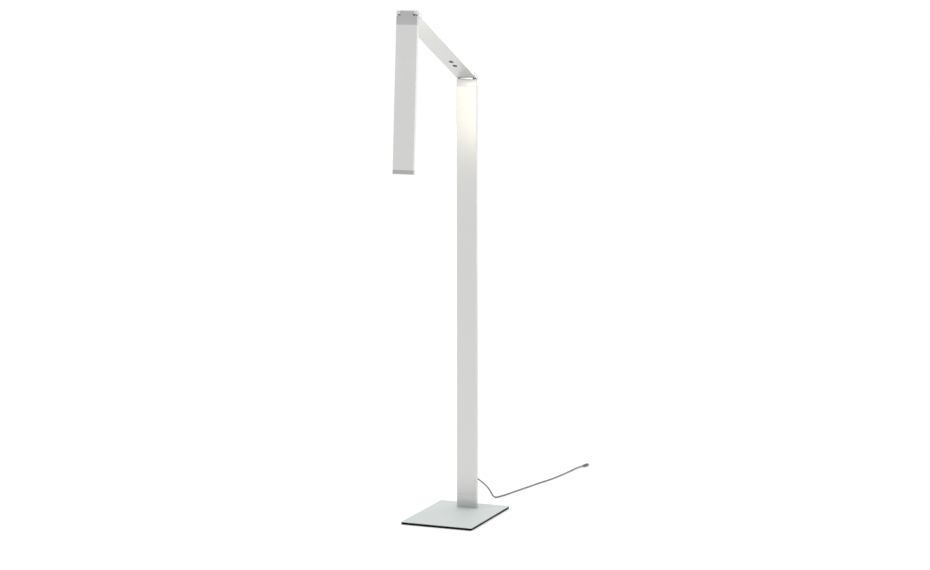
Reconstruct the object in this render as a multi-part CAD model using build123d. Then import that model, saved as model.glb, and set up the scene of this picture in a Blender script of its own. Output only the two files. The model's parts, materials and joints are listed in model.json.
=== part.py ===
from build123d import *
import os
from math import cos, pi, radians, sin, tan

# Slim floor lamp: a flat column stands near the back edge of a weighted base plate, a flat arm
# is hinged to the top of the column, and a flat light head is hinged to the end of the arm.
# Millimetres. The origin is the centre of the base's underside, +Z is up, -Y is the front,
# and every hinge pin lies along X.

# ---- driving dimensions -----------------------------------------------------------------

# the flat section that column, arm and head share
WIDTH = 65.0
DEPTH = 14.0
CORNER = 1.5  # radius of the four long edges
WALL = 1.8
WEB = 1.5  # the two inner ribs of the column's and the arm's section
CHANNEL = 22.5  # width of the middle channel, between the ribs

# base
PLATE_WIDTH = 230.0
PLATE_LENGTH = 320.0
PLATE_CORNER = 2.0
MAT_THICKNESS = 1.5
MAT_INSET = 4.0
BALLAST_THICKNESS = 6.0
COVER_THICKNESS = 1.5
COVER_BEVEL = 0.4
COLUMN_Y = 96.0  # the column stands behind the plate's middle

# lengths along the lamp
ELBOW_Z = 1348.0  # height of the elbow's pin
ARM_LENGTH = 506.0  # from pin to pin
HEAD_LENGTH = 462.0  # from pin to the bottom end
FOOT_HEIGHT = 41.0
CAP_LENGTH = 29.0  # from a pin to the profile that the cap closes
HEAD_CAP = 34.0  # the head's own cap is a little longer
END_CAP = 12.0

# pose at rest, in degrees
ARM_RISE = 24.0  # above the horizontal
HEAD_LEAN = 4.2  # the head's lower end leans forward

# smallest angle between the two links that a hinge joins
ELBOW_FOLD = 90.0
HEAD_FOLD = 60.0

# hinges
MIDDLE_KNUCKLE = 39.0
KNUCKLE_GAP = 0.6
HINGE_GAP = 1.0  # between a knuckle and the shoulder that faces it
SHADOW_GROOVE = 2.5  # how deep the gap's line is carried across the middle knuckle
PIN_RADIUS = 3.0
PIN_BORE = 1.55
PIN_FIT = 0.02  # the pin in its own knuckle, and the bush in its own
RUNNING_FIT = 0.05  # the pin in a bush, all round
BUSH_WALL = 0.95
WASHER_RADIUS = 6.5
WASHER_THICKNESS = 0.4
END_POCKET = 2.4
POCKET_RADIUS = 5.0
END_SCREW_HEAD_RADIUS = 4.6
END_SCREW_HEAD = 1.8
END_SCREW_LENGTH = 9.0
END_SOCKET_RADIUS = 1.8

# prongs of the caps and the foot, and their screws
PRONG_LENGTH = 22.0
PRONG_FIT = 0.15
SCREW_RADIUS = 1.5
SCREW_HEAD_RADIUS = 3.0
SCREW_LENGTH = 8.0
SCREW_INSET = 11.0  # from the profile's end
SCREW_FIT = 0.05
BOLT_RADIUS = 3.0
BOLT_HEAD_RADIUS = 6.0
BOLT_LENGTH = 24.0
BOLT_SPACING = 40.0
SOCKET_SHARE = 0.75  # of a countersunk screw's radius
SOCKET_DEPTH = 0.7  # of its head's height

# buttons on the arm's underside
BUTTON_RADIUS = 7.0
BUTTON_FIT = 0.3
BUTTON_PROUD = 0.8
BUTTON_EDGE = 0.5
BUTTON_PLACES = {"power_button": 108.0, "dimmer_button": 141.0}  # from the elbow's pin
BUTTON_TRAVEL = 1.2
FLANGE_LIP = 1.3
FLANGE_THICKNESS = 1.0
FLANGE_GAP = 0.1
SWITCH_SIZE = 6.0
SWITCH_HEIGHT = 3.2
SWITCH_GAP = 0.15  # left under a button that is pressed home
BOARD_THICKNESS = 1.6
BOARD_WIDTH = 20.0
BOARD_MARGIN = 16.0
CARRIER_WIDTH = 22.0
CARRIER_MARGIN = 20.0
CARRIER_FIT = 0.05

# light head
RAIL = 5.7  # the head section's thick side rails
LIP = 3.2  # the rail's part that stands beside the diffuser
BACK = 3.8  # the head section's back, which takes the heat
RAIL_SCREW_Y = 0.5
RAIL_SCREW_RADIUS = 1.25
RAIL_SCREW_HEAD_RADIUS = 2.2
RAIL_SCREW_LENGTH = 14.0
DIFFUSER_THICKNESS = 2.5
DIFFUSER_RECESS = 0.2
DIFFUSER_FIT = 0.2
TONGUE_LENGTH = 15.0
END_TONGUE_LENGTH = 10.0
TONGUE_FIT = 0.15
LED_BOARD_WIDTH = 48.0
LED_BOARD_GAP = 1.0
LED_SIZE = 3.0
LED_HEIGHT = 0.8
LED_PITCH = 12.0
LED_ROWS = (-12.0, 12.0)

# wiring
WIRE_RADIUS = 1.0
WIRE_FIT = 0.3
WIRE_BEND_SHARE = 0.9  # of the short run from the strain relief to the column's middle
WIRE_STOP = 2.0  # from a pin to the wire's end
WIRE_STANDOFF = 0.35  # between the control board and the arm's wire
WIRE_OVERLAP = 8.0  # the length of wire that lies over the light board

# cord, strain relief and connector
CORD_RADIUS = 2.5
RELIEF_Z = 97.0
RELIEF_TAPER = 25.5
RELIEF_WIDE = 5.2
RELIEF_NARROW = 3.3
RELIEF_COLLAR_RADIUS = 7.0
RELIEF_COLLAR = 2.5
RELIEF_NECK_RADIUS = 4.4
NUT_RADIUS = 7.0
NUT_THICKNESS = 2.4
NUT_FIT = 0.1
CONNECTOR_RADIUS = 5.0
CONNECTOR_BODY = 18.0
CONNECTOR_TAPER = 10.0
CONNECTOR_NARROW = 3.3
BARREL_RADIUS = 2.75
BARREL_BORE = 1.25
BARREL_LENGTH = 9.5
BARREL_DEPTH = 8.5
FLOOR_GAP = 0.1  # under the cord and the connector
FIRST_RUN = 19.0  # straight out of the strain relief
ARC_SHARE = 0.45  # of the shorter run, taken by an arc at each end of it

# ---- sizes that follow ------------------------------------------------------------------

PLATE_TOP = MAT_THICKNESS + BALLAST_THICKNESS + COVER_THICKNESS
COLUMN_BOTTOM = PLATE_TOP + FOOT_HEIGHT
COLUMN_TOP = ELBOW_Z - CAP_LENGTH
HALF_DEPTH = DEPTH / 2
HALF_WIDTH = WIDTH / 2
KNUCKLE_RADIUS = HALF_DEPTH
INSIDE = HALF_DEPTH - WALL  # from the middle plane to the inner face of a wall
CHAMBER_IN = CHANNEL / 2 + WEB
CHAMBER_OUT = HALF_WIDTH - WALL
CHAMBER_X = (CHAMBER_IN + CHAMBER_OUT) / 2
MIDDLE_HALF = MIDDLE_KNUCKLE / 2
OUTER_IN = MIDDLE_HALF + KNUCKLE_GAP
PIN_HALF = HALF_WIDTH - END_POCKET
BUSH_BORE = PIN_RADIUS + RUNNING_FIT
BUSH_RADIUS = BUSH_BORE + BUSH_WALL
HEAD_CAVITY = HALF_WIDTH - RAIL
LIGHT_SEAT = HALF_WIDTH - LIP
RAIL_X = HALF_WIDTH - RAIL / 2
SEAT_Y = -HALF_DEPTH + DIFFUSER_RECESS + DIFFUSER_THICKNESS
BOARD_FACE_Y = HALF_DEPTH - BACK  # where the light board is glued to the head's back
BUTTON_MIDDLE = sum(BUTTON_PLACES.values()) / len(BUTTON_PLACES)
BUTTON_SPREAD = max(BUTTON_PLACES.values()) - min(BUTTON_PLACES.values())
FLANGE_TOP = -INSIDE + FLANGE_GAP
FLANGE_BOTTOM = FLANGE_TOP + FLANGE_THICKNESS
SWITCH_TOP = FLANGE_BOTTOM + BUTTON_TRAVEL + SWITCH_GAP
BOARD_TOP = SWITCH_TOP + SWITCH_HEIGHT
BOARD_BOTTOM = BOARD_TOP + BOARD_THICKNESS
COLUMN_BACK = COLUMN_Y + HALF_DEPTH
ARM_WIRE_Y = BOARD_BOTTOM + WIRE_STANDOFF + WIRE_RADIUS
RELIEF_END = COLUMN_BACK + RELIEF_COLLAR + RELIEF_TAPER
CORD_LIE = CORD_RADIUS + FLOOR_GAP
CONNECTOR_LIE = CONNECTOR_RADIUS + FLOOR_GAP

# the cord's route, from the strain relief down to the floor and away behind the lamp
CORD_POINTS = [
    (0.0, RELIEF_END, RELIEF_Z),
    (0.0, RELIEF_END + FIRST_RUN, RELIEF_Z),
    (2.5, 176.0, 84.5),
    (7.0, 203.0, 68.5),
    (11.0, 231.0, 51.0),
    (14.0, 256.0, 30.0),
    (19.0, 277.0, CORD_LIE),
    (30.0, 303.0, CORD_LIE),
    (39.0, 337.0, CORD_LIE),
    (49.5, 394.0, CORD_LIE),
    (64.0, 461.0, CORD_LIE),
    (76.5, 531.0, CORD_LIE),
    (93.5, 598.0, CORD_LIE),
    (103.5, 669.0, CORD_LIE),
    (110.5, 738.0, CORD_LIE),
    (117.0, 795.0, CONNECTOR_LIE),
    (127.0, 828.0, CONNECTOR_LIE),
]

# each link's own frame: its pin at the origin, +Z along the link, -Y its light side
ELBOW = Pos(0, COLUMN_Y, ELBOW_Z)
ARM_FRAME = ELBOW * Rot(90 - ARM_RISE, 0, 0)
HEAD_FRAME = ARM_FRAME * Pos(0, 0, ARM_LENGTH) * Rot(90 + ARM_RISE - HEAD_LEAN, 0, 0)


# ---- plain shapes -----------------------------------------------------------------------

def bar(width, depth, bottom, top, corner):
    """An upright bar of rounded rectangular section, centred on the Z axis."""
    return Pos(0, 0, bottom) * extrude(RectangleRounded(width, depth, corner), top - bottom)


def block(x_low, x_high, y_low, y_high, z_low, z_high):
    """A box between two corners."""
    middle = Pos((x_low + x_high) / 2, (y_low + y_high) / 2, (z_low + z_high) / 2)
    return middle * Box(x_high - x_low, y_high - y_low, z_high - z_low)


def rod_x(radius, start, end):
    """A round rod on the X axis."""
    return Pos((start + end) / 2, 0, 0) * Rot(0, 90, 0) * Cylinder(radius, end - start)


def rod_y(radius, x, z, start, end):
    """A round rod along Y."""
    return Pos(x, (start + end) / 2, z) * Rot(90, 0, 0) * Cylinder(radius, end - start)


def rod_z(radius, x, y, bottom, top):
    """A round rod along Z."""
    return Pos(x, y, (bottom + top) / 2) * Cylinder(radius, top - bottom)


def both_sides(shape):
    """A shape and its mirror image on the other side of the lamp's middle plane."""
    return [shape, mirror(shape, about=Plane.YZ)]


def screw(radius, head_radius, length, drive=True):
    """A countersunk screw on +Z, with the flat of its head at the origin."""
    head = head_radius - radius
    body = Pos(0, 0, head / 2) * Cone(head_radius, radius, head)
    body += rod_z(radius, 0, 0, head, length)
    if drive:
        body -= extrude(RegularPolygon(radius * SOCKET_SHARE, 6), head * SOCKET_DEPTH)
    return body


def screw_hole(radius, head_radius, length, fit=SCREW_FIT):
    """The space that a countersunk screw takes, with its clearance."""
    return screw(radius + fit, head_radius + fit, length + fit, drive=False)


def save(name, *solids):
    """Writes one node, as one solid or as a group of like ones."""
    shape = solids[0] if len(solids) == 1 else Compound(list(solids))
    export_step(shape, os.path.join("parts", name + ".step"))


# ---- the links' common parts ------------------------------------------------------------

def hollow_profile(bottom, top):
    """The column's and the arm's extrusion: a flat tube with two inner ribs."""
    profile = bar(WIDTH, DEPTH, bottom, top, CORNER)
    profile -= block(-CHANNEL / 2, CHANNEL / 2, -INSIDE, INSIDE, bottom, top)
    for chamber in both_sides(block(CHAMBER_IN, CHAMBER_OUT, -INSIDE, INSIDE, bottom, top)):
        profile -= chamber
    return profile


def prongs(start, length):
    """The two tongues that slide into a profile's side chambers, from start along +Z."""
    side = block(
        CHAMBER_IN + PRONG_FIT,
        CHAMBER_OUT - PRONG_FIT,
        -INSIDE + PRONG_FIT,
        INSIDE - PRONG_FIT,
        start,
        start + length,
    )
    return both_sides(side)


def prong_screw_places(z):
    """Where the two screws go in through the profile's rear wall into the prongs."""
    return [Pos(x, HALF_DEPTH, z) * Rot(90, 0, 0) for x in (-CHAMBER_X, CHAMBER_X)]


def drill(shape, places, tool):
    """Cuts the same tool out of a shape at each place."""
    for place in places:
        shape -= place * tool
    return shape


def prong_screws(z):
    one = screw(SCREW_RADIUS, SCREW_HEAD_RADIUS, SCREW_LENGTH)
    return [place * one for place in prong_screw_places(z)]


def prong_screw_holes(shape, z):
    hole = screw_hole(SCREW_RADIUS, SCREW_HEAD_RADIUS, SCREW_LENGTH)
    return drill(shape, prong_screw_places(z), hole)


def shoulders(fold):
    """How far the shoulder lies from the pin: on the far side, and on the light side."""
    outer = KNUCKLE_RADIUS + HINGE_GAP
    inner = (outer + HALF_DEPTH * cos(radians(fold))) / sin(radians(fold))
    return outer, inner


def shoulder_cut(x_low, x_high, fold):
    """What is cut off beside a knuckle, deeper on the light side so that the links can fold."""
    outer, inner = shoulders(fold)
    slope = (outer - inner) / DEPTH
    edge = HALF_DEPTH + 1
    section = Polygon(
        (-edge, -edge),
        (edge, -edge),
        (edge, outer + slope),
        (-edge, inner - slope),
        align=None,
    )
    return Pos(x_low, 0, 0) * extrude(Plane.YZ * section, x_high - x_low)


def middle_knuckle_cap(fold, length):
    """A cap with one wide knuckle in the middle; the pin sits fast in it.

    A groove on the light side carries the shoulders' gap on below the knuckle.
    """
    cap = bar(WIDTH, DEPTH, 0, length, CORNER)
    for cut in both_sides(shoulder_cut(MIDDLE_HALF, HALF_WIDTH + 1, fold)):
        cap -= cut
    cap += rod_x(KNUCKLE_RADIUS, -MIDDLE_HALF, MIDDLE_HALF)
    low, high = KNUCKLE_RADIUS, max(shoulders(fold))
    cap -= block(-MIDDLE_HALF, MIDDLE_HALF, -HALF_DEPTH - 1, SHADOW_GROOVE - HALF_DEPTH, low, high)
    return cap - rod_x(PIN_RADIUS + PIN_FIT, -MIDDLE_HALF, MIDDLE_HALF)


def outer_knuckle():
    """One of the two narrow knuckles, rounded at its outer end as the profile's edges are."""
    knuckle = rod_x(KNUCKLE_RADIUS, OUTER_IN, HALF_WIDTH)
    rim = knuckle.edges().filter_by(GeomType.CIRCLE).sort_by(Axis.X)[-1]
    return fillet(rim, CORNER)


def outer_knuckle_cap(fold):
    """A cap with a knuckle at each side; they turn on the pin in bushes."""
    cap = bar(WIDTH, DEPTH, 0, CAP_LENGTH, CORNER)
    cap -= shoulder_cut(-OUTER_IN, OUTER_IN, fold)
    for knuckle in both_sides(outer_knuckle()):
        cap += knuckle
    cap -= rod_x(BUSH_RADIUS + PIN_FIT, -HALF_WIDTH - 1, HALF_WIDTH + 1)
    for pocket in both_sides(rod_x(POCKET_RADIUS, PIN_HALF, HALF_WIDTH + 1)):
        cap -= pocket
    return cap


def hinge_pin():
    pin = rod_x(PIN_RADIUS, -PIN_HALF, PIN_HALF)
    return pin - rod_x(PIN_BORE, -PIN_HALF, PIN_HALF)


def hinge_bushes():
    bush = rod_x(BUSH_RADIUS, OUTER_IN, PIN_HALF - RUNNING_FIT)
    return both_sides(bush - rod_x(BUSH_BORE, OUTER_IN, PIN_HALF))


def hinge_washers():
    start = MIDDLE_HALF + (KNUCKLE_GAP - WASHER_THICKNESS) / 2
    washer = rod_x(WASHER_RADIUS, start, start + WASHER_THICKNESS)
    return both_sides(washer - rod_x(PIN_RADIUS + RUNNING_FIT, start, start + WASHER_THICKNESS))


def hinge_end_screws():
    """The screws that close the pin's ends and set the hinge's friction."""
    end = PIN_HALF + END_SCREW_HEAD
    body = rod_x(END_SCREW_HEAD_RADIUS, PIN_HALF, end)
    body += rod_x(PIN_BORE - SCREW_FIT, PIN_HALF - END_SCREW_LENGTH, PIN_HALF)
    socket = extrude(RegularPolygon(END_SOCKET_RADIUS, 6), END_SCREW_HEAD)
    return both_sides(body - Pos(end - END_SCREW_HEAD / 2, 0, 0) * Rot(0, 90, 0) * socket)


def save_hinge(name, place):
    """The pieces on one hinge's axis."""
    save(name + "_pin", place * hinge_pin())
    save(name + "_bushes", *[place * bush for bush in hinge_bushes()])
    save(name + "_washers", *[place * washer for washer in hinge_washers()])
    save(name + "_end_screws", *[place * end for end in hinge_end_screws()])


# ---- base and column --------------------------------------------------------------------

def bolt_places():
    return [Pos(x, COLUMN_Y, MAT_THICKNESS) for x in (-BOLT_SPACING / 2, BOLT_SPACING / 2)]


def save_base():
    bolt_hole = screw_hole(BOLT_RADIUS, BOLT_HEAD_RADIUS, BOLT_LENGTH)
    mat = bar(PLATE_WIDTH - 2 * MAT_INSET, PLATE_LENGTH - 2 * MAT_INSET, 0, MAT_THICKNESS, PLATE_CORNER)
    save("non_slip_mat", mat)

    cover_bottom = MAT_THICKNESS + BALLAST_THICKNESS
    ballast = bar(PLATE_WIDTH, PLATE_LENGTH, MAT_THICKNESS, cover_bottom, PLATE_CORNER)
    save("ballast_plate", drill(ballast, bolt_places(), bolt_hole))

    cover = bar(PLATE_WIDTH, PLATE_LENGTH, cover_bottom, PLATE_TOP, PLATE_CORNER)
    cover = chamfer(cover.faces().sort_by(Axis.Z)[-1].edges(), COVER_BEVEL)
    save("base_cover", drill(cover, bolt_places(), bolt_hole))

    bolt = screw(BOLT_RADIUS, BOLT_HEAD_RADIUS, BOLT_LENGTH)
    save("foot_bolts", *[place * bolt for place in bolt_places()])

    foot = bar(WIDTH, DEPTH, PLATE_TOP, COLUMN_BOTTOM, CORNER)
    for prong in prongs(COLUMN_BOTTOM, PRONG_LENGTH):
        foot += prong
    foot = prong_screw_holes(foot, COLUMN_BOTTOM + SCREW_INSET)
    save("column_foot", drill(Pos(0, COLUMN_Y, 0) * foot, bolt_places(), bolt_hole))


def save_column():
    column = Pos(0, COLUMN_Y, 0)
    low_screws = COLUMN_BOTTOM + SCREW_INSET
    high_screws = COLUMN_TOP - SCREW_INSET
    profile = hollow_profile(COLUMN_BOTTOM, COLUMN_TOP)
    profile = prong_screw_holes(profile, low_screws)
    profile = prong_screw_holes(profile, high_screws)
    profile -= rod_y(RELIEF_NECK_RADIUS + NUT_FIT, 0, RELIEF_Z, 0, HALF_DEPTH)
    save("column_profile", column * profile)
    screws = prong_screws(low_screws) + prong_screws(high_screws)
    save("column_screws", *[column * one for one in screws])

    cap = middle_knuckle_cap(ELBOW_FOLD, CAP_LENGTH)
    for prong in prongs(CAP_LENGTH, PRONG_LENGTH):
        cap += prong
    cap = prong_screw_holes(cap, CAP_LENGTH + SCREW_INSET)
    cap -= rod_z(WIRE_RADIUS + WIRE_FIT, 0, 0, 0, CAP_LENGTH)
    save("column_hinge_cap", ELBOW * mirror(cap, about=Plane.XY))

    wire_run = INSIDE - NUT_THICKNESS - NUT_FIT
    route = FilletPolyline(
        (0, COLUMN_Y + wire_run, RELIEF_Z),
        (0, COLUMN_Y, RELIEF_Z),
        (0, COLUMN_Y, ELBOW_Z - PIN_RADIUS - WIRE_STOP),
        radius=WIRE_BEND_SHARE * wire_run,
    )
    save("column_wire", sweep(Plane(route @ 0, z_dir=route % 0) * Circle(WIRE_RADIUS), path=route))


# ---- arm and head -----------------------------------------------------------------------

def save_arm():
    top = ARM_LENGTH - CAP_LENGTH
    profile = hollow_profile(CAP_LENGTH, top)
    for z in (CAP_LENGTH + SCREW_INSET, top - SCREW_INSET):
        profile = prong_screw_holes(profile, z)
    for z in BUTTON_PLACES.values():
        profile -= rod_y(BUTTON_RADIUS + BUTTON_FIT, 0, z, -HALF_DEPTH, 0)
    save("arm_profile", ARM_FRAME * profile)

    wire_way = rod_z(WIRE_RADIUS + WIRE_FIT, 0, ARM_WIRE_Y, 0, CAP_LENGTH)
    caps = {}
    for name, fold in (("arm_lower_cap", ELBOW_FOLD), ("arm_upper_cap", HEAD_FOLD)):
        cap = outer_knuckle_cap(fold)
        for prong in prongs(CAP_LENGTH, PRONG_LENGTH):
            cap += prong
        cap = prong_screw_holes(cap, CAP_LENGTH + SCREW_INSET)
        caps[name] = cap - wire_way
    save("arm_lower_cap", ARM_FRAME * caps["arm_lower_cap"])
    far_end = ARM_FRAME * Pos(0, 0, ARM_LENGTH)
    save("arm_upper_cap", far_end * mirror(caps["arm_upper_cap"], about=Plane.XY))

    screws = prong_screws(CAP_LENGTH + SCREW_INSET) + prong_screws(top - SCREW_INSET)
    save("arm_screws", *[ARM_FRAME * one for one in screws])
    wire = rod_z(WIRE_RADIUS, 0, ARM_WIRE_Y, CAP_LENGTH / 2, ARM_LENGTH - CAP_LENGTH / 2)
    save("arm_wire", ARM_FRAME * wire)


def button(z):
    """A round button with a flange that keeps it behind the arm's lower wall."""
    cap = rod_y(BUTTON_RADIUS, 0, z, -HALF_DEPTH - BUTTON_PROUD, FLANGE_BOTTOM)
    rim = cap.edges().filter_by(GeomType.CIRCLE).sort_by(Axis.Y)[0]
    return fillet(rim, BUTTON_EDGE) + rod_y(BUTTON_RADIUS + FLANGE_LIP, 0, z, FLANGE_TOP, FLANGE_BOTTOM)


def save_buttons():
    for name, z in BUTTON_PLACES.items():
        save(name, ARM_FRAME * button(z))
    half = SWITCH_SIZE / 2
    switches = [block(-half, half, SWITCH_TOP, BOARD_TOP, z - half, z + half) for z in BUTTON_PLACES.values()]
    save("tact_switches", *[ARM_FRAME * switch for switch in switches])

    reach = BUTTON_SPREAD / 2 + BOARD_MARGIN
    low, high = BUTTON_MIDDLE - reach, BUTTON_MIDDLE + reach
    board = block(-BOARD_WIDTH / 2, BOARD_WIDTH / 2, BOARD_TOP, BOARD_BOTTOM, low, high)
    save("control_board", ARM_FRAME * board)

    reach = BUTTON_SPREAD / 2 + CARRIER_MARGIN
    low, high = BUTTON_MIDDLE - reach, BUTTON_MIDDLE + reach
    half = CARRIER_WIDTH / 2
    carrier = block(-half, half, BOARD_BOTTOM, INSIDE - CARRIER_FIT, low, high)
    groove = WIRE_RADIUS + WIRE_FIT
    carrier -= block(-groove, groove, BOARD_BOTTOM, ARM_WIRE_Y + groove, low, high)
    save("board_carrier", ARM_FRAME * carrier)


def rail_screw_places(z, turn):
    """The ends of the head's side rails, where the end caps are screwed on."""
    return [Pos(x, RAIL_SCREW_Y, z) * Rot(turn, 0, 0) for x in (-RAIL_X, RAIL_X)]


def tongue(start, end):
    """The flat tongue of a head cap, which fills the head's cavity in front of its back."""
    return block(
        -HEAD_CAVITY + TONGUE_FIT,
        HEAD_CAVITY - TONGUE_FIT,
        SEAT_Y + DIFFUSER_FIT,
        BOARD_FACE_Y - TONGUE_FIT,
        start,
        end,
    )


def save_head():
    bottom = HEAD_LENGTH - END_CAP
    profile = bar(WIDTH, DEPTH, HEAD_CAP, bottom, CORNER)
    profile -= block(-LIGHT_SEAT, LIGHT_SEAT, -HALF_DEPTH, SEAT_Y, HEAD_CAP, bottom)
    profile -= block(-HEAD_CAVITY, HEAD_CAVITY, SEAT_Y, BOARD_FACE_Y, HEAD_CAP, bottom)
    for x in (-RAIL_X, RAIL_X):
        profile -= rod_z(RAIL_SCREW_RADIUS + SCREW_FIT, x, RAIL_SCREW_Y, HEAD_CAP, bottom)
    save("head_profile", HEAD_FRAME * profile)

    hole = screw_hole(RAIL_SCREW_RADIUS, RAIL_SCREW_HEAD_RADIUS, HEAD_CAP)
    screw_start = HEAD_CAP / 2
    cap = middle_knuckle_cap(HEAD_FOLD, HEAD_CAP) + tongue(HEAD_CAP, HEAD_CAP + TONGUE_LENGTH)
    cap -= rod_z(WIRE_RADIUS + WIRE_FIT, 0, 0, 0, HEAD_CAP + TONGUE_LENGTH)
    for x in (-RAIL_X, RAIL_X):
        cap -= rod_z(RAIL_SCREW_HEAD_RADIUS + SCREW_FIT, x, RAIL_SCREW_Y, 0, screw_start)
    cap = drill(cap, rail_screw_places(screw_start, 0), hole)
    save("head_hinge_cap", HEAD_FRAME * cap)

    end_cap = bar(WIDTH, DEPTH, bottom, HEAD_LENGTH, CORNER) + tongue(bottom - END_TONGUE_LENGTH, bottom)
    end_cap = drill(end_cap, rail_screw_places(HEAD_LENGTH, 180), hole)
    save("head_end_cap", HEAD_FRAME * end_cap)

    upper = screw(RAIL_SCREW_RADIUS, RAIL_SCREW_HEAD_RADIUS, HEAD_CAP - screw_start + RAIL_SCREW_LENGTH)
    lower = screw(RAIL_SCREW_RADIUS, RAIL_SCREW_HEAD_RADIUS, END_CAP + RAIL_SCREW_LENGTH)
    screws = [place * upper for place in rail_screw_places(screw_start, 0)]
    screws += [place * lower for place in rail_screw_places(HEAD_LENGTH, 180)]
    save("head_screws", *[HEAD_FRAME * one for one in screws])

    diffuser = block(
        -LIGHT_SEAT + DIFFUSER_FIT,
        LIGHT_SEAT - DIFFUSER_FIT,
        -HALF_DEPTH + DIFFUSER_RECESS,
        SEAT_Y,
        HEAD_CAP + DIFFUSER_FIT,
        bottom - DIFFUSER_FIT,
    )
    save("diffuser", HEAD_FRAME * diffuser)

    low = HEAD_CAP + TONGUE_LENGTH + LED_BOARD_GAP
    high = bottom - END_TONGUE_LENGTH - LED_BOARD_GAP
    half = LED_BOARD_WIDTH / 2
    board_top = BOARD_FACE_Y - BOARD_THICKNESS
    save("led_board", HEAD_FRAME * block(-half, half, board_top, BOARD_FACE_Y, low, high))

    count = int((high - low) // LED_PITCH)
    first = (low + high - (count - 1) * LED_PITCH) / 2
    half = LED_SIZE / 2
    leds = []
    for row in LED_ROWS:
        for number in range(count):
            z = first + number * LED_PITCH
            leds.append(block(row - half, row + half, board_top - LED_HEIGHT, board_top, z - half, z + half))
    save("led_chips", *[HEAD_FRAME * led for led in leds])

    wire = rod_z(WIRE_RADIUS, 0, 0, PIN_RADIUS + WIRE_STOP, low + WIRE_OVERLAP)
    save("head_wire", HEAD_FRAME * wire)


# ---- cord -------------------------------------------------------------------------------

def arc_radii(points):
    """The largest arcs that the route's runs leave room for, one for each corner."""
    radii = []
    for before, here, after in zip(points, points[1:], points[2:]):
        arrive = Vector(*here) - Vector(*before)
        leave = Vector(*after) - Vector(*here)
        half_turn = radians(arrive.get_angle(leave)) / 2
        radii.append(ARC_SHARE * min(arrive.length, leave.length) / tan(half_turn))
    return radii


def save_cord():
    wall_inside = COLUMN_Y + INSIDE
    nut_start = wall_inside - NUT_THICKNESS - NUT_FIT
    relief = rod_y(RELIEF_NECK_RADIUS, 0, RELIEF_Z, nut_start, COLUMN_BACK)
    relief += rod_y(RELIEF_COLLAR_RADIUS, 0, RELIEF_Z, COLUMN_BACK, COLUMN_BACK + RELIEF_COLLAR)
    taper_middle = COLUMN_BACK + RELIEF_COLLAR + RELIEF_TAPER / 2
    taper = Cone(RELIEF_WIDE, RELIEF_NARROW, RELIEF_TAPER)
    relief += Pos(0, taper_middle, RELIEF_Z) * Rot(-90, 0, 0) * taper
    save("cord_relief", relief)

    nut = extrude(RegularPolygon(NUT_RADIUS, 6), NUT_THICKNESS)
    nut -= rod_z(RELIEF_NECK_RADIUS + NUT_FIT, 0, 0, 0, NUT_THICKNESS)
    save("relief_nut", Pos(0, nut_start, RELIEF_Z) * Rot(-90, 0, 0) * nut)

    radii = arc_radii(CORD_POINTS)
    print("cord arc radii", [round(radius, 1) for radius in radii])
    route = FilletPolyline(*CORD_POINTS, radius=radii)
    cord = sweep(Plane(route @ 0, z_dir=route % 0) * Circle(CORD_RADIUS), path=route)
    expected = pi * CORD_RADIUS**2 * route.length
    print("cord length", round(route.length, 1), "volume ratio", round(cord.volume / expected, 4))
    save("cord", cord)

    tip = Plane(route @ 1, z_dir=route % 1)
    taper = Cone(CONNECTOR_NARROW, CONNECTOR_RADIUS, CONNECTOR_TAPER)
    body = Pos(0, 0, CONNECTOR_TAPER / 2) * taper
    body_end = CONNECTOR_TAPER + CONNECTOR_BODY
    body += rod_z(CONNECTOR_RADIUS, 0, 0, CONNECTOR_TAPER, body_end)
    save("connector_body", tip.location * body)
    barrel_end = body_end + BARREL_LENGTH
    barrel = rod_z(BARREL_RADIUS, 0, 0, body_end, barrel_end)
    barrel -= rod_z(BARREL_BORE, 0, 0, barrel_end - BARREL_DEPTH, barrel_end)
    save("connector_barrel", tip.location * barrel)


os.makedirs("parts", exist_ok=True)
save_base()
save_column()
save_hinge("elbow", ELBOW)
save_arm()
save_buttons()
save_hinge("head", ARM_FRAME * Pos(0, 0, ARM_LENGTH))
save_head()
save_cord()
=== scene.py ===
# %% [markdown]
# # A slim floor lamp, finished in Blender
# The lamp comes as a CAD frame: every plate, profile, cap, pin and screw is already at its real
# size and in its real place. This lesson adds what CAD leaves plain: anodised and brushed metal,
# softened edges, a lit diffuser, a ribbed strain relief, dished buttons and a cord that lies as a
# cord does. We load the frame first, because all positions are read from it, and keep its outer
# box to compare with at the end.

# %% Load the frame
import json
import math

import bmesh
import bpy
from mathutils import Matrix, Vector


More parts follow.
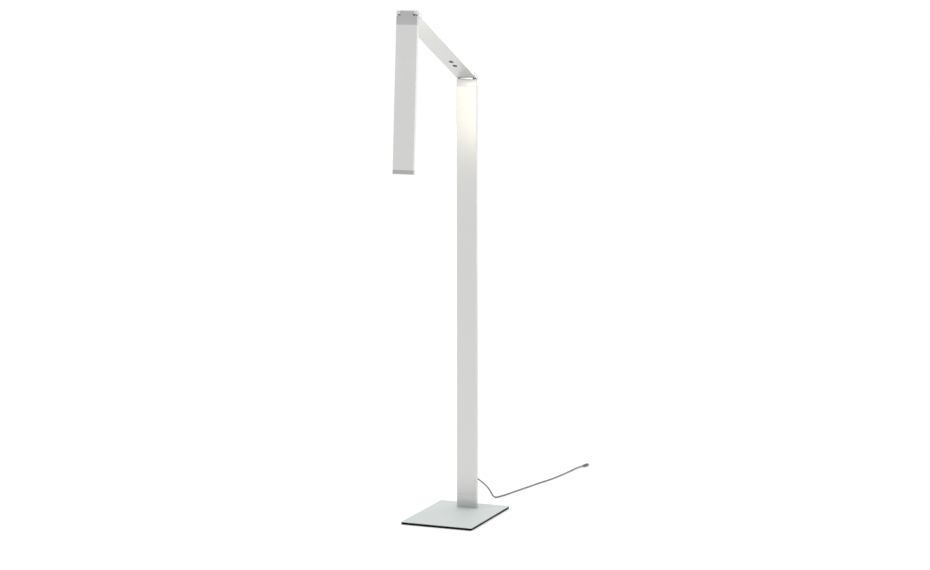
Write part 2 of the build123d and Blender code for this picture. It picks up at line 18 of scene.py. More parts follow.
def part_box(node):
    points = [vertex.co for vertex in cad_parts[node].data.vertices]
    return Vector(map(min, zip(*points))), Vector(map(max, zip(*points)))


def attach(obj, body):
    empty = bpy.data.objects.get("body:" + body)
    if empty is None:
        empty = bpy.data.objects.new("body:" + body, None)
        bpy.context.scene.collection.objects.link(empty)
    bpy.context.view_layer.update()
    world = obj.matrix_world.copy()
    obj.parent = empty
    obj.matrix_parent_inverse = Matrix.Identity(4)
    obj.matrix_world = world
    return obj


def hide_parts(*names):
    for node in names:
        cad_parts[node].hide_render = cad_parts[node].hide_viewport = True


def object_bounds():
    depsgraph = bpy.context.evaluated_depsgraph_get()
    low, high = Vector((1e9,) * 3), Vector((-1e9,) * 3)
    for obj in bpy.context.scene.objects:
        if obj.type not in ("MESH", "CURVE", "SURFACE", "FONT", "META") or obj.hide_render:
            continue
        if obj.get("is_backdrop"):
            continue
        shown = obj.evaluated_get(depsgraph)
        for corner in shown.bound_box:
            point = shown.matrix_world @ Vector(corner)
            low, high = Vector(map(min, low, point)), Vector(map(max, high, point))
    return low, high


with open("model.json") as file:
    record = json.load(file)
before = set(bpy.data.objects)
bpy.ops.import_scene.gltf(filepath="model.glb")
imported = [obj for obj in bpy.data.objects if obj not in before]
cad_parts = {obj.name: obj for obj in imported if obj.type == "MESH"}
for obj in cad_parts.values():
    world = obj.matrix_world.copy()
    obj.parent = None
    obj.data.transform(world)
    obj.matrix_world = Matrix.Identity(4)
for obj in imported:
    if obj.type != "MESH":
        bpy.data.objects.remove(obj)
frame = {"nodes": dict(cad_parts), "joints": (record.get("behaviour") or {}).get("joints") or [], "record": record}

cad_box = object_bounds()
scene = bpy.context.scene
scene.view_settings.view_transform = "Standard"
joints = {joint["name"]: joint for joint in frame["joints"]}
elbow = Vector(joints["elbow_hinge"]["pos_m"])
head_axis = Vector(joints["head_hinge"]["pos_m"])
record = frame["record"]
body_of = {node: body for body, nodes in record["behaviour"]["bodies"].items() for node in nodes}
slot_of = {part["node"]: part["material_slot"] for part in record["subparts"]}
box_corners = [tuple(round(v, 3) for v in corner) for corner in cad_box]
print("frame:", len(frame["nodes"]), "nodes; box", box_corners)

# %% [markdown]
# ## The camera
# A camera is placed in three steps: choose the point to aim at, step back along the line of
# sight, and pick the lens. A long lens far away keeps the tall column almost parallel.
# The camera is made before anything else, since the cord has to be judged through it.

# %% Place the camera
CAMERA_AIM = Vector((-0.0068, 0.0933, 0.7081))
CAMERA_DISTANCE = 7.694
CAMERA_SIDE = math.radians(21.73)  # round towards the lamp's right
CAMERA_DIP = math.radians(7.90)  # looking down
LENS = 96.77

forward = Vector((
    -math.sin(CAMERA_SIDE) * math.cos(CAMERA_DIP),
    math.cos(CAMERA_SIDE) * math.cos(CAMERA_DIP),
    -math.sin(CAMERA_DIP),
))
camera = bpy.data.objects.new("camera", bpy.data.cameras.new("camera"))
camera.data.lens = LENS
camera.location = CAMERA_AIM - forward * CAMERA_DISTANCE
camera.rotation_mode = "QUATERNION"
camera.rotation_quaternion = forward.to_track_quat("-Z", "Y")
scene.collection.objects.link(camera)
scene.camera = camera
print("camera at", tuple(round(v, 2) for v in camera.location))

# %% [markdown]
# ## Writing a material as an expression
# A procedural material is a graph of nodes, and graphs are hard to read as code. `Wire` wraps one
# output socket and overloads the arithmetic operators, so that `streaks * 0.1 + 0.3` adds its own
# Math nodes. `Finish` owns one material. Its `node` method makes any other node: settings go in
# first, because they can change which sockets exist, and then the values or wires of its sockets.
# What is the same all over a surface is set straight on the shader.

# %% The material kit
WHITE = (1.0, 1.0, 1.0)


def tone(value, tint=WHITE):
    """An opaque colour of one lightness, with a slight tint."""
    return tuple(value * part for part in tint) + (1.0,)


class Wire:
    """A number or colour that varies over a surface."""

    def __init__(self, finish, socket):
        self.finish = finish
        self.socket = socket

    def maths(self, operation, first, second):
        return self.finish.node("ShaderNodeMath", {"operation": operation}, {0: first, 1: second})

    def __add__(self, other):
        return self.maths("ADD", self, other)

    def __mul__(self, other):
        return self.maths("MULTIPLY", self, other)

    __radd__ = __add__
    __rmul__ = __mul__


class Finish:
    """One material: a Principled shader and the nodes that feed it."""

    def __init__(self, name, **constants):
        self.material = bpy.data.materials.new(name)
        self.material.use_nodes = True
        self.tree = self.material.node_tree
        self.shader = self.tree.nodes["Principled BSDF"]
        self.set(**constants)

    def set(self, **values):
        """Sets or feeds the shader's sockets; base_color means Base Color."""
        for name, value in values.items():
            self.feed(self.shader.inputs[name.replace("_", " ").title().replace("Ior", "IOR")], value)
        return self

    def feed(self, socket, value):
        if isinstance(value, Wire):
            self.tree.links.new(value.socket, socket)
        else:
            socket.default_value = value

    def node(self, kind, settings=None, inputs=None, output=0):
        made = self.tree.nodes.new(kind)
        for name, value in (settings or {}).items():
            if name == "stops":
                for stop, (place, color) in zip(made.color_ramp.elements, value):
                    stop.position = place
                    stop.color = color
            else:
                setattr(made, name, value)
        for name, value in (inputs or {}).items():
            self.feed(made.inputs[name], value)
        return Wire(self, made.outputs[output])

    def places(self, scale=(1, 1, 1), turn=0.0):
        """Places on the piece in metres, turned about X and then stretched."""
        here = self.node("ShaderNodeTexCoord", output="Object")
        upright = self.node("ShaderNodeMapping", {}, {"Vector": here, "Rotation": (-turn, 0, 0)})
        return self.node("ShaderNodeMapping", {}, {"Vector": upright, "Scale": scale})

    def noise(self, scale, turn=0.0, detail=2.0, roughness=0.5):
        """Noise from 0 to 1 with so many grains to the metre along X, Y and Z."""
        inputs = {"Vector": self.places(scale, turn), "Scale": 1.0}
        return self.node("ShaderNodeTexNoise", {}, {**inputs, "Detail": detail, "Roughness": roughness})

    def mix(self, amount, low, high):
        """Blends two colours."""
        made = self.tree.nodes.new("ShaderNodeMix")
        made.data_type = "RGBA"
        self.feed(made.inputs[0], amount)
        self.feed(made.inputs[6], low)
        self.feed(made.inputs[7], high)
        return Wire(self, made.outputs[2])

    def tones(self, amount, value, spread, tint=WHITE):
        """A tone that varies by a share of itself, down and up."""
        return self.mix(amount, tone(value * (1 - spread), tint), tone(value * (1 + spread), tint))

    def bump(self, height, depth, strength=1.0):
        """Turns a height into a Normal; depth is in metres."""
        inputs = {"Height": height, "Distance": depth, "Strength": strength}
        return self.node("ShaderNodeBump", {}, inputs)


def even(name, value, tint=WHITE, spread=0.04, grain=400, depth=2e-5, roughness=0.5):
    """A moulded or coated finish: nearly one tone, with a fine grain and a faint cloudiness."""
    finish = Finish(name)
    cloud = finish.noise((30, 30, 30), detail=3.0)
    fine = finish.noise((grain, grain, grain), detail=3.0)
    color = finish.tones(cloud * 0.6 + fine * 0.4, value, spread, tint)
    rough = fine * 0.12 + (roughness - 0.06)
    return finish.set(base_color=color, roughness=rough, normal=finish.bump(fine, depth))


print("material kit ready")

# %% [markdown]
# ## Anodised profiles
# Column, arm and head are one extruded aluminium section. The die leaves fine lines along the
# length, and the anodising etches them to a satin. The lines scatter light across the profile and
# keep it narrow along it, so the shader is anisotropic and the noise is stretched along the
# length. Each link has its own lean, and the noise is turned with it.

# %% Profile finish
ARM_TURN = math.atan2(elbow.y - head_axis.y, head_axis.z - elbow.z)  # from upright, towards the front
HEAD_LEAN = 4.2  # degrees from upright
HEAD_TURN = math.radians(180 - HEAD_LEAN)
PROFILE_TINT = (1.0, 1.0, 0.985)


def anodised(name, value, turn, anisotropic):
    finish = Finish(name, metallic=1.0, anisotropic=anisotropic)
    lines = finish.noise((1300, 1300, 5), turn, detail=3.0)
    etch = finish.noise((2600, 2600, 2600), turn, detail=1.0)
    cloud = finish.noise((9, 9, 4), turn, detail=2.0)
    amount = cloud * 0.5 + lines * 0.5
    color = finish.tones(amount, value, 0.035, PROFILE_TINT)
    relief = lines * 0.7 + etch * 0.3
    rough = lines * 0.10 + etch * 0.06 + 0.32
    return finish.set(base_color=color, roughness=rough, normal=finish.bump(relief, 1.2e-5, 0.5))


profile_finishes = {
    "column_profile": anodised("anodised_column", 0.635, 0.0, 0.7),
    "arm_profile": anodised("anodised_arm", 0.63, ARM_TURN, 0.0),
    "head_profile": anodised("anodised_head", 0.655, HEAD_TURN, 0.7),
}
print("arm turned", round(math.degrees(ARM_TURN), 1), "degrees from upright")

# %% [markdown]
# ## Caps and foot
# The hinge caps, the foot and the head's end cap are machined from solid aluminium. They are
# brushed across the lamp and anodised darker than the profiles, which is why they show as grey
# bands in the pale metal. The head's hinge cap keeps that darker tone. The foot and the caps at
# the elbow and at the arm's upper end are set lighter, and that difference is painted light for
# how light falls on them there. The head's end cap, slightly darker than its hinge cap, is
# painted shade.

# %% Cap finish
def brushed(name, value, turn, roughness=0.38):
    finish = Finish(name, metallic=1.0)
    strokes = finish.noise((12, 900, 1500), turn, detail=4.0, roughness=0.6)
    pores = finish.noise((1800, 1800, 1800), turn, detail=1.0)
    color = finish.mix(strokes, tone(value * 0.93), tone(value * 1.07, (1.0, 1.0, 1.01)))
    rough = strokes * 0.14 + pores * 0.05 + (roughness - 0.09)
    relief = finish.bump(strokes * 0.8 + pores * 0.2, 1.5e-5, 0.5)
    return finish.set(base_color=color, roughness=rough, normal=relief)


# painted light and shade: foot, elbow and arm-end caps set lighter, the head's end cap darker
cap_finishes = {
    "column_foot": brushed("brushed_foot", 0.56, 0.0, 0.42),
    "column_hinge_cap": brushed("brushed_column_cap", 0.60, 0.0),
    "arm_lower_cap": brushed("brushed_arm_lower", 0.56, ARM_TURN),
    "arm_upper_cap": brushed("brushed_arm_upper", 0.60, ARM_TURN),
    "head_hinge_cap": brushed("brushed_head_cap", 0.44, HEAD_TURN),
    "head_end_cap": brushed("brushed_head_end", 0.41, HEAD_TURN),
}
print(len(cap_finishes), "cap finishes")

# %% [markdown]
# ## Base finishes
# The base is a heavy black powder-coated plate with a thin sheet on top, sprayed in a pale,
# faintly green silver. The lacquer is satin: it shows the foot only as a soft darkening. Powder
# coat has an orange-peel skin and hardly shines, and the mat below is moulded rubber.

# %% Base finishes
def satin_lacquer(name, value, tint):
    finish = Finish(name, metallic=0.25, specular_ior_level=0.35)
    flake = finish.noise((2400, 2400, 2400), detail=1.0)
    peel = finish.noise((260, 260, 260), detail=2.0)
    cloud = finish.noise((10, 10, 10), detail=2.0)
    amount = cloud * 0.5 + flake * 0.5
    color = finish.tones(amount, value, 0.03, tint)
    rough = flake * 0.08 + peel * 0.04 + 0.48
    return finish.set(base_color=color, roughness=rough, normal=finish.bump(peel, 1.5e-5, 0.5))


def powder_coat(name, value):
    finish = Finish(name, specular_ior_level=0.08)
    peel = finish.noise((650, 650, 650), detail=2.0)
    fleck = finish.noise((3000, 3000, 3000), detail=1.0)
    color = finish.mix(fleck, tone(value * 0.7), tone(value * 1.4, (0.96, 1.0, 0.99)))
    return finish.set(base_color=color, roughness=peel * 0.2 + 0.5, normal=finish.bump(peel, 9e-5, 0.6))


base_finishes = {
    "base_cover": satin_lacquer("satin_silver_lacquer", 0.68, (0.935, 1.0, 0.98)),
    "ballast_plate": powder_coat("black_powder_coat", 0.006),
    "non_slip_mat": even("mat_rubber", 0.03, spread=0.15, grain=900, depth=2e-4, roughness=0.8),
}
print("base finishes:", ", ".join(base_finishes))

# %% [markdown]
# ## Light, plastic and small metal
# The diffuser is opal acrylic, lit from behind by two rows of chips: a cosine along the head gives
# it a barely visible beat at the pitch of the chips. Small parts get simple finishes with grain.

# %% Small finishes
CHIP_PITCH = 0.012
WARM = (1.0, 0.92, 0.72)


def lit_opal(name):
    finish = Finish(name, roughness=0.35, emission_strength=2.2)
    along = finish.places((1, 1, 1), HEAD_TURN)
    height = finish.node("ShaderNodeSeparateXYZ", {}, {"Vector": along}, output="Z")
    phase = height * (2 * math.pi / CHIP_PITCH)
    beat = finish.node("ShaderNodeMath", {"operation": "COSINE"}, {0: phase})
    glow = finish.mix(beat * 0.5 + 0.5, tone(0.94, WARM), tone(1.0, WARM))
    fine = finish.noise((500, 500, 500))
    white = finish.mix(fine, tone(0.86), tone(0.90))
    return finish.set(base_color=white, emission_color=glow, normal=finish.bump(fine, 1e-5, 0.3))


def plated(name, value):
    finish = Finish(name, metallic=1.0)
    turned = finish.noise((700, 700, 700), detail=4.0)
    color = finish.mix(turned, tone(value * 0.88), tone(value * 1.08))
    rough = turned * 0.2 + 0.2
    return finish.set(base_color=color, roughness=rough, normal=finish.bump(turned, 1e-5, 0.4))


def circuit_board(name, mask, pad):
    """Solder mask with copper tracks under it: a fine brick pattern lifts the tracks a little."""
    finish = Finish(name, roughness=0.35)
    grid = {"Vector": finish.places((1, 1, 1)), "Scale": 260.0, "Mortar Size": 0.03}
    grid |= {"Color1": mask, "Color2": mask, "Mortar": pad}
    tracks = finish.node("ShaderNodeTexBrick", {}, grid)
    lines = finish.node("ShaderNodeTexBrick", {}, grid, output="Fac")
    rough = lines * 0.2 + 0.3
    return finish.set(base_color=tracks, roughness=rough, normal=finish.bump(lines, 3e-5, 0.5))


def phosphor(name):
    finish = Finish(name, roughness=0.4, emission_strength=3.0)
    grain = finish.noise((2500, 2500, 2500))
    yellow = finish.mix(grain, tone(0.85, (1.0, 0.82, 0.35)), tone(0.95, (1.0, 0.88, 0.45)))
    glow = finish.mix(grain, tone(0.95, WARM), tone(1.0, WARM))
    return finish.set(base_color=yellow, emission_color=glow)


green_mask, green_track = tone(1.0, (0.02, 0.16, 0.07)), tone(1.0, (0.05, 0.30, 0.14))
white_mask, white_track = tone(0.85), tone(0.70, (1.0, 0.97, 0.90))
CORD_TINT = (0.98, 1.0, 1.02)
cord_skin = {"value": 0.17, "tint": CORD_TINT, "spread": 0.06}
button_skin = {"spread": 0.2, "grain": 2200, "depth": 4e-5}
slot_finishes = {
    "steel": plated("zinc_plated_steel", 0.62),
    "bush_plastic": even("acetal_bush", 0.75, roughness=0.4),
    "washer_plastic": even("friction_washer", 0.05, grain=1500, roughness=0.7),
    "button_plastic": even("soft_touch_button", 0.028, **button_skin),
    "board_green": circuit_board("control_board_mask", green_mask, green_track),
    "switch_black": even("switch_housing", 0.04, grain=1500, roughness=0.45),
    "carrier_plastic": even("carrier_plastic", 0.55, grain=1200, roughness=0.5),
    "led_white": phosphor("chip_phosphor"),
    "board_white": circuit_board("light_board_mask", white_mask, white_track),
    "diffuser_opal": lit_opal("lit_opal_acrylic"),
    "wire_sheath": even("wire_sheath", 0.10, grain=1500, roughness=0.5),
    "cord_grey": even("cord_sheath", **cord_skin, grain=1800, depth=3e-5, roughness=0.42),
    "moulded_grey": even("moulded_relief", **cord_skin, grain=1600, depth=4e-5, roughness=0.5),
}


def finish_for(node):
    """The finish of a CAD piece: its own one, or that of its material slot."""
    for group in (profile_finishes, cap_finishes, base_finishes):
        if node in group:
            return group[node]
    return slot_finishes[slot_of[node]]


def dress(piece, finish):
    piece.data.materials.clear()
    piece.data.materials.append(finish.material)


for node, piece in frame["nodes"].items():
    dress(piece, finish_for(node))
print("dressed", len(frame["nodes"]), "pieces")

# %% [markdown]
# ## Softening the machined edges
# A CAD solid has knife edges, and nothing made of metal does: the small round along each edge
# catches the light and tells the eye that it is metal. A copy of the piece is cleaned of its
# triangles, gets a narrow bevel, and then stands for the CAD piece.

# %% Soft-edged copies
SAME_POINT = 1e-6
FLAT_ANGLE = math.radians(0.5)
CORNER_ANGLE = math.radians(35)
SOFT_EDGES = {
    "foot_block": ("column_foot", 0.0003),
    "elbow_lower_cap": ("column_hinge_cap", 0.0003),
    "elbow_upper_cap": ("arm_lower_cap", 0.0003),
    "arm_end_knuckles": ("arm_upper_cap", 0.0003),
    "head_knuckle_cap": ("head_hinge_cap", 0.0003),
    "head_bottom_cap": ("head_end_cap", 0.0003),
    "base_top_sheet": ("base_cover", 0.0003),
    "black_base_plate": ("ballast_plate", 0.0006),
}


def join(piece, node):
    """A new piece rides where a CAD node does, and takes its finish."""
    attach(piece, body_of[node])
    dress(piece, finish_for(node))
    return piece


def settle(piece, node):
    """A new piece joins its CAD node's body, and stands for that node."""
    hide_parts(node)
    return join(piece, node)


def add_mesh(name, work):
    """Turns a bmesh into an object in the scene."""
    mesh = bpy.data.meshes.new(name)
    work.normal_update()
    work.to_mesh(mesh)
    work.free()
    piece = bpy.data.objects.new(name, mesh)
    scene.collection.objects.link(piece)
    return piece


def soft_edged(name, node, width):
    """A copy of a CAD piece with a narrow bevel along its corners."""
    work = bmesh.new()
    work.from_mesh(frame["nodes"][node].data)
    bmesh.ops.remove_doubles(work, verts=work.verts, dist=SAME_POINT)
    bmesh.ops.dissolve_limit(work, angle_limit=FLAT_ANGLE, verts=work.verts, edges=work.edges)
    piece = add_mesh(name, work)
    piece.data.shade_smooth()
    bevel = piece.modifiers.new("edge", "BEVEL")
    bevel.width = width
    bevel.segments = 2
    bevel.limit_method = "ANGLE"
    bevel.angle_limit = CORNER_ANGLE
    bevel.use_clamp_overlap = False
    bevel.harden_normals = True
    return settle(piece, node)


for name, (node, width) in SOFT_EDGES.items():
    soft_edged(name, node, width)
print("soft edges on", len(SOFT_EDGES), "pieces")

# %% [markdown]
# ## Turned pieces
# Buttons, strain relief and connector are round. One lathe makes them all: an outline of radius
# and height is carried round an axis. The outline runs from the axis out and back to the axis, so
# that the mesh closes by itself.

# %% The lathe
ROUND_STEPS = 48
CREASE_ANGLE = math.radians(40)


def lathe(name, outline, start, direction, steps=ROUND_STEPS):
    """Carries an outline of (radius, height) round the line from start along direction."""
    work = bmesh.new()
    angles = [2 * math.pi * step / steps for step in range(steps)]
    rings = []
    for radius, height in outline:
        places = [(radius * math.cos(a), radius * math.sin(a), height) for a in angles]
        rings.append([work.verts.new(place) for place in (places if radius else places[:1])])
    for lower, upper in zip(rings, rings[1:]):
        for step in range(steps):
            after = (step + 1) % steps
            corners = [lower[step % len(lower)], lower[after % len(lower)]]
            corners += [upper[after % len(upper)], upper[step % len(upper)]]
            work.faces.new(list(dict.fromkeys(corners)))
    bmesh.ops.recalc_face_normals(work, faces=work.faces)
    work.transform(Matrix.Translation(start) @ direction.to_track_quat("Z", "Y").to_matrix().to_4x4())
    piece = add_mesh(name, work)
    piece.data.shade_smooth()
    piece.data.set_sharp_from_angle(angle=CREASE_ANGLE)
    return piece


def rounded(radius, height, fillet, steps=4):
    """A quarter round at the rim of a turned piece, from its side to its end."""
    turn = [math.pi / 2 * step / steps for step in range(steps + 1)]
    points = [(radius - fillet + fillet * math.cos(a), fillet * math.sin(a)) for a in turn]
    return [(r, height - fillet + z) for r, z in points]


print("lathe ready")

# %% [markdown]
# ## The two buttons
# Each button is a moulded dish: a rounded rim, a shallow hollow for the fingertip, a skirt in the
# hole and a flange behind the wall. The power button has a small raised dot to find it by touch.
# Each one replaces its CAD button and rides on that button's own body, so it travels when pressed.

# %% Buttons
BUTTON_RADIUS = 0.0070
FLANGE_RADIUS = 0.0083
FLANGE_THICKNESS = 0.0010
DISH_DEPTH = 0.0007
DISH_STEPS = 8
RIM = 0.0010
RIM_ROUND = 0.0005
DOT_RADIUS = 0.0007
DOT_ROUND = 0.0006
DOT_DEPTH = 0.0009
DOT_SUNK = 0.0001
DOT_STEPS = 20
inward = Vector(joints["power_press"]["axis"]).normalized()


def button_centre(node):
    """The middle of the button's outer face, and its depth, both read from the CAD solid."""
    points = [vertex.co for vertex in frame["nodes"][node].data.vertices]
    depths = [point.dot(inward) for point in points]
    middle = sum((Vector(corner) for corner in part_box(node)), Vector()) / 2
    return middle + inward * (min(depths) - middle.dot(inward)), max(depths) - min(depths)


def dished_button(name, node):
    face, depth = button_centre(node)
    hollow = []
    for step in range(DISH_STEPS + 1):
        share = step / DISH_STEPS
        hollow.append(((BUTTON_RADIUS - RIM) * share, -DISH_DEPTH * (1 - share**2)))
    rim = rounded(BUTTON_RADIUS, 0.0, RIM_ROUND)[::-1]
    flange = [(FLANGE_RADIUS, FLANGE_THICKNESS - depth), (FLANGE_RADIUS, -depth), (0.0, -depth)]
    skirt = [(BUTTON_RADIUS, FLANGE_THICKNESS - depth)]
    return settle(lathe(name, hollow + rim + skirt + flange, face, -inward), node)


def raised_dot(name, node):
    face, _ = button_centre(node)
    outline = [(0.0, 0.0), *rounded(DOT_RADIUS, 0.0, DOT_ROUND)[::-1]]
    outline += [(DOT_RADIUS, -DOT_DEPTH), (0.0, -DOT_DEPTH)]
    return join(lathe(name, outline, face + inward * DOT_SUNK, -inward, DOT_STEPS), node)


dished_button("power_button_cap", "power_button")
raised_dot("power_button_cap_dot", "power_button")
dished_button("dimmer_button_cap", "dimmer_button")
print("buttons face", tuple(round(v, 2) for v in -inward))

# %% [markdown]
# ## The cord
# A flexible low-voltage lead leaves the back of the column, hangs to the floor under its own
# weight and runs away behind the lamp in a loose, slightly uneven line. It is one NURBS curve:
# the points below are its control points, and the curve passes inside its corners as a real cord
# would. On the floor each point lies a hair higher than the cord's own radius, and at the end as
# high as the middle of the connector. The round section has a radius of one metre and each point
# scales it down to the cord's. A curve's bounding box adds that scale to every point, so this way
# the box is as large as the cord and no larger.

# %% Cord
UNIT_SECTION = 1.0
CORD_DIAMETER = 0.005
CORD_LIE = 0.0026
CONNECTOR_LIE = 0.0051
CORD_POINTS = [
    (0.0, 0.1310, 0.0970),
    (0.0, 0.1500, 0.0970),
    (0.0025, 0.1760, 0.0845),
    (0.0070, 0.2030, 0.0685),
    (0.0110, 0.2310, 0.0510),
    (0.0140, 0.2560, 0.0300),
    (0.0190, 0.2770, CORD_LIE),
    (0.0300, 0.3030, CORD_LIE),
    (0.0390, 0.3370, CORD_LIE),
    (0.0495, 0.3940, CORD_LIE),
    (0.0640, 0.4610, CORD_LIE),
    (0.0765, 0.5310, CORD_LIE),
    (0.0935, 0.5980, CORD_LIE),
    (0.1035, 0.6690, CORD_LIE),
    (0.1105, 0.7380, CORD_LIE),
    (0.1170, 0.7950, CONNECTOR_LIE),
    (0.1270, 0.8280, CONNECTOR_LIE),
]


def smooth_cord(name, points, diameter):
    curve = bpy.data.curves.new(name, "CURVE")
    curve.dimensions = "3D"
    curve.bevel_depth = UNIT_SECTION
    curve.bevel_resolution = 6
    curve.resolution_u = 10
    curve.use_fill_caps = True
    line = curve.splines.new("NURBS")
    line.points.add(len(points) - 1)
    for point, place in zip(line.points, points):
        point.co = (*place, 1.0)
        point.radius = diameter / 2
    line.order_u = 3
    line.use_endpoint_u = True
    piece = bpy.data.objects.new(name, curve)
    scene.collection.objects.link(piece)
    return piece


cord = smooth_cord("power_cord", CORD_POINTS, CORD_DIAMETER)
settle(cord, "cord")
cord_exit = Vector(CORD_POINTS[0])
print("cord leaves the strain relief at", tuple(round(v, 3) for v in cord_exit))

# %% [markdown]
# ## Strain relief
# Where the cord leaves the column it is held by a tapered relief: a collar against the wall and a
# tail whose rings let it bend evenly. The rings are turned into the outline, one groove after
# another, thinner towards the tip.

# %% Strain relief
RELIEF_GROOVES = 6
SHANK_RADIUS = 0.0044  # the part that goes through the wall
COLLAR_RADIUS = 0.0070
COLLAR_LENGTH = 0.0025
COLLAR_ROUND = 0.0006
RELIEF_WIDE = 0.0052
RELIEF_NARROW = 0.0033
GROOVE_DEPTH = 0.0009
# along one ring, as shares of its length, and whether the outline is down in the groove there
RING_STEPS = ((0.0, False), (0.55, False), (0.65, True), (0.90, True))


def ringed_tail(start, end, wide, narrow, grooves, depth):
    """Rings and grooves along a taper: flat rings, with narrower grooves between them."""
    outline = []
    step = (end - start) / grooves
    for number in range(grooves):
        low = start + number * step
        for share, sunk in RING_STEPS:
            height = low + share * step
            radius = wide + (narrow - wide) * (height - start) / (end - start)
            outline.append((radius - depth * sunk, height))
    return outline + [(narrow, end)]


wall_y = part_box("column_profile")[1].y
relief_low, relief_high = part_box("cord_relief")
relief_place = Vector((cord_exit.x, wall_y, cord_exit.z))
tail_length = relief_high.y - wall_y
shank_end = relief_low.y - wall_y
outline = [(0.0, shank_end), (SHANK_RADIUS, shank_end), (SHANK_RADIUS, 0.0), (COLLAR_RADIUS, 0.0)]
outline += rounded(COLLAR_RADIUS, COLLAR_LENGTH, COLLAR_ROUND)
taper = (COLLAR_LENGTH, tail_length, RELIEF_WIDE, RELIEF_NARROW)
outline += ringed_tail(*taper, RELIEF_GROOVES, GROOVE_DEPTH) + [(0.0, tail_length)]
relief = lathe("ringed_relief", outline, relief_place, Vector((0, 1, 0)))
settle(relief, "cord_relief")
print("relief is", round(tail_length * 1000), "mm long outside the column")

# %% [markdown]
# ## Connector
# The lead ends in a round low-voltage connector. Its moulded body has a ringed tail where the
# cord goes in, a waist with grip rings, and a steel barrel with a dark insulator in its mouth.

# %% Connector
BODY_RADIUS = 0.0050
BODY_LENGTH = 0.0180
BODY_ROUND = 0.0008
TAIL_START = 0.0005
TAIL_END = 0.0100
TAIL_RADIUS = 0.0033
TAIL_RINGS = 3
TAIL_GROOVE = 0.0006
SHOULDER = (BODY_RADIUS - 0.0001, TAIL_END + 0.0008)
GRIP_START = TAIL_END + 0.0030
GRIP_RINGS = 5
GRIP_PITCH = 0.0018
GRIP_STEPS = ((0.0, 0.0), (0.0004, 0.0003), (0.0004, 0.0009), (0.0, 0.0012))  # depth, height
BARREL_RADIUS = 0.00275
BARREL_BORE = 0.00125
BARREL_LENGTH = 0.0095
BARREL_WALL = 0.0005
INSULATOR_THICKNESS = 0.0003

cord_end = Vector(CORD_POINTS[-1])
cord_heading = (cord_end - Vector(CORD_POINTS[-2])).normalized()
body_end = TAIL_END + BODY_LENGTH
grip = [(0.0, 0.0), (TAIL_RADIUS, 0.0)]
taper = (TAIL_START, TAIL_END, TAIL_RADIUS, BODY_RADIUS - TAIL_GROOVE)
grip += ringed_tail(*taper, TAIL_RINGS, TAIL_GROOVE) + [SHOULDER]
for number in range(GRIP_RINGS):
    low = GRIP_START + number * GRIP_PITCH
    grip += [(BODY_RADIUS - depth, low + height) for depth, height in GRIP_STEPS]
grip += rounded(BODY_RADIUS, body_end, BODY_ROUND) + [(0.0, body_end)]
connector = settle(lathe("connector_grip", grip, cord_end, cord_heading), "connector_body")

inner, outer, top = BARREL_BORE, BARREL_RADIUS - BARREL_WALL, INSULATOR_THICKNESS
washer = [(inner, 0.0), (outer, 0.0), (outer, top), (inner, top), (inner, 0.0)]
mouth = cord_end + cord_heading * (body_end + BARREL_LENGTH)
insulator = lathe("connector_insulator", washer, mouth, cord_heading)
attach(insulator, "stand")
dress(insulator, slot_finishes["switch_black"])

print("cord heads", tuple(round(v, 2) for v in cord_heading), "into its connector")

# %% [markdown]
# ## Floor and light
# The lamp stands on a wide pale floor. An even white surrounding gives the soft wrap of a studio
# tent from every side, and one overhead light keeps the floor as white as what lies beyond it.
# The narrow side faces are seen at a glancing angle, so they mirror what stands behind the lamp on
# the right: a large soft light there turns them nearly white. The head has its own warm light: an
# area light that lies just outside the diffuser and rides on the head, so that it turns with it.

# %% Stage and lights
FLOOR_RADIUS = 16.0
FLOOR_GLOW = 0.13
WORLD_LIGHT = 1.0
LAMP_MIDDLE = (0.0, 0.0, 0.9)
GLOW_GAP = 0.0035  # from the middle of the diffuser to the light in front of it
GLOW_WIDTH = 0.056
GLOW_LENGTH = 0.41


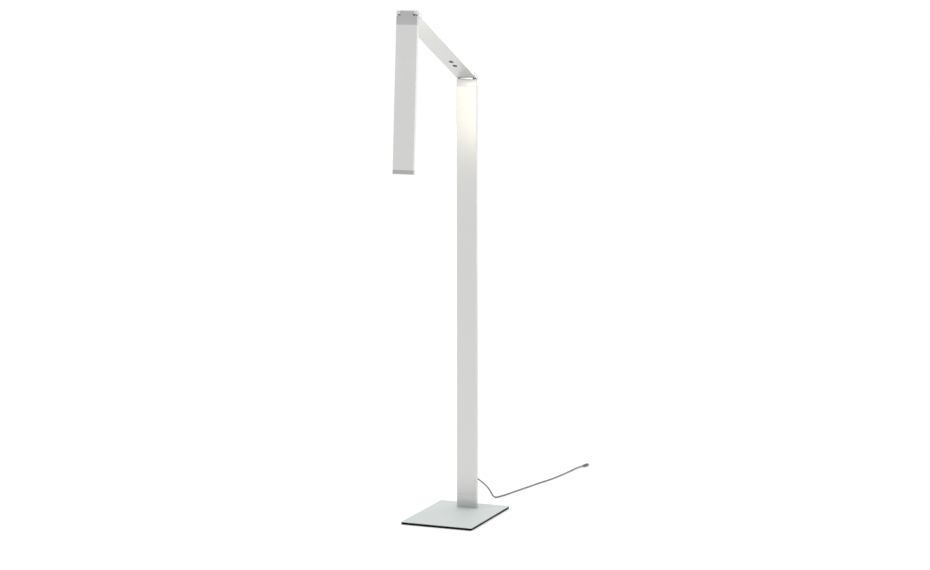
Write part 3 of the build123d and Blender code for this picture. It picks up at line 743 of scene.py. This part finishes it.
def round_floor(name, radius, sides=96):
    """A flat disc: beyond its edge the white surroundings go on, so that no side is closed off."""
    work = bmesh.new()
    bmesh.ops.create_circle(work, cap_ends=True, segments=sides, radius=radius)
    return add_mesh(name, work)


floor = round_floor("studio_floor", FLOOR_RADIUS)
paper = even("studio_white", 0.93, spread=0.004, grain=40, depth=0.0, roughness=0.9)
paper.set(emission_color=tone(1.0), emission_strength=FLOOR_GLOW)
dress(floor, paper)
floor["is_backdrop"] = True


def soft_light(name, place, aim, width, height, power, color=WHITE):
    light = bpy.data.lights.new(name, "AREA")
    light.shape = "RECTANGLE"
    light.size = width
    light.size_y = height
    light.energy = power
    light.color = color
    lamp = bpy.data.objects.new(name, light)
    lamp.location = place
    lamp.rotation_mode = "QUATERNION"
    lamp.rotation_quaternion = (Vector(aim) - Vector(place)).to_track_quat("-Z", "Y")
    lamp.visible_camera = False
    scene.collection.objects.link(lamp)
    return lamp


world = bpy.data.worlds.new("studio")
world.use_nodes = True
surround = world.node_tree.nodes["Background"].inputs
surround["Color"].default_value = tone(1.0)
surround["Strength"].default_value = WORLD_LIGHT
scene.world = world
soft_light("overhead", (0.0, 0.5, 5.5), (0.0, 0.5, 0.0), width=5.0, height=5.0, power=20)
soft_light("behind_on_the_right", (2.1, 5.0, 0.9), LAMP_MIDDLE, width=2.4, height=4.0, power=34)

diffuser_middle = sum((Vector(corner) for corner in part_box("diffuser")), Vector()) / 2
light_way = Vector((0.0, math.cos(math.pi - HEAD_TURN), -math.sin(math.pi - HEAD_TURN)))
glow_place = diffuser_middle + light_way * GLOW_GAP
glow_aim = glow_place + light_way
glow = soft_light("head_glow", glow_place, glow_aim, GLOW_WIDTH, GLOW_LENGTH, power=0.62, color=WARM)
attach(glow, "head")
print("head light points", tuple(round(v, 2) for v in light_way))

# %% [markdown]
# ## Compare sizes and finish
# The finished lamp has to keep the size of its CAD frame. The new box is set against the CAD box,
# and how much it has grown is printed.

# %% Compare the sizes and finish
new_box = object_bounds()
grown = (new_box[1] - new_box[0]) - (cad_box[1] - cad_box[0])
print("grown by", [round(side * 1000, 1) for side in grown], "mm")
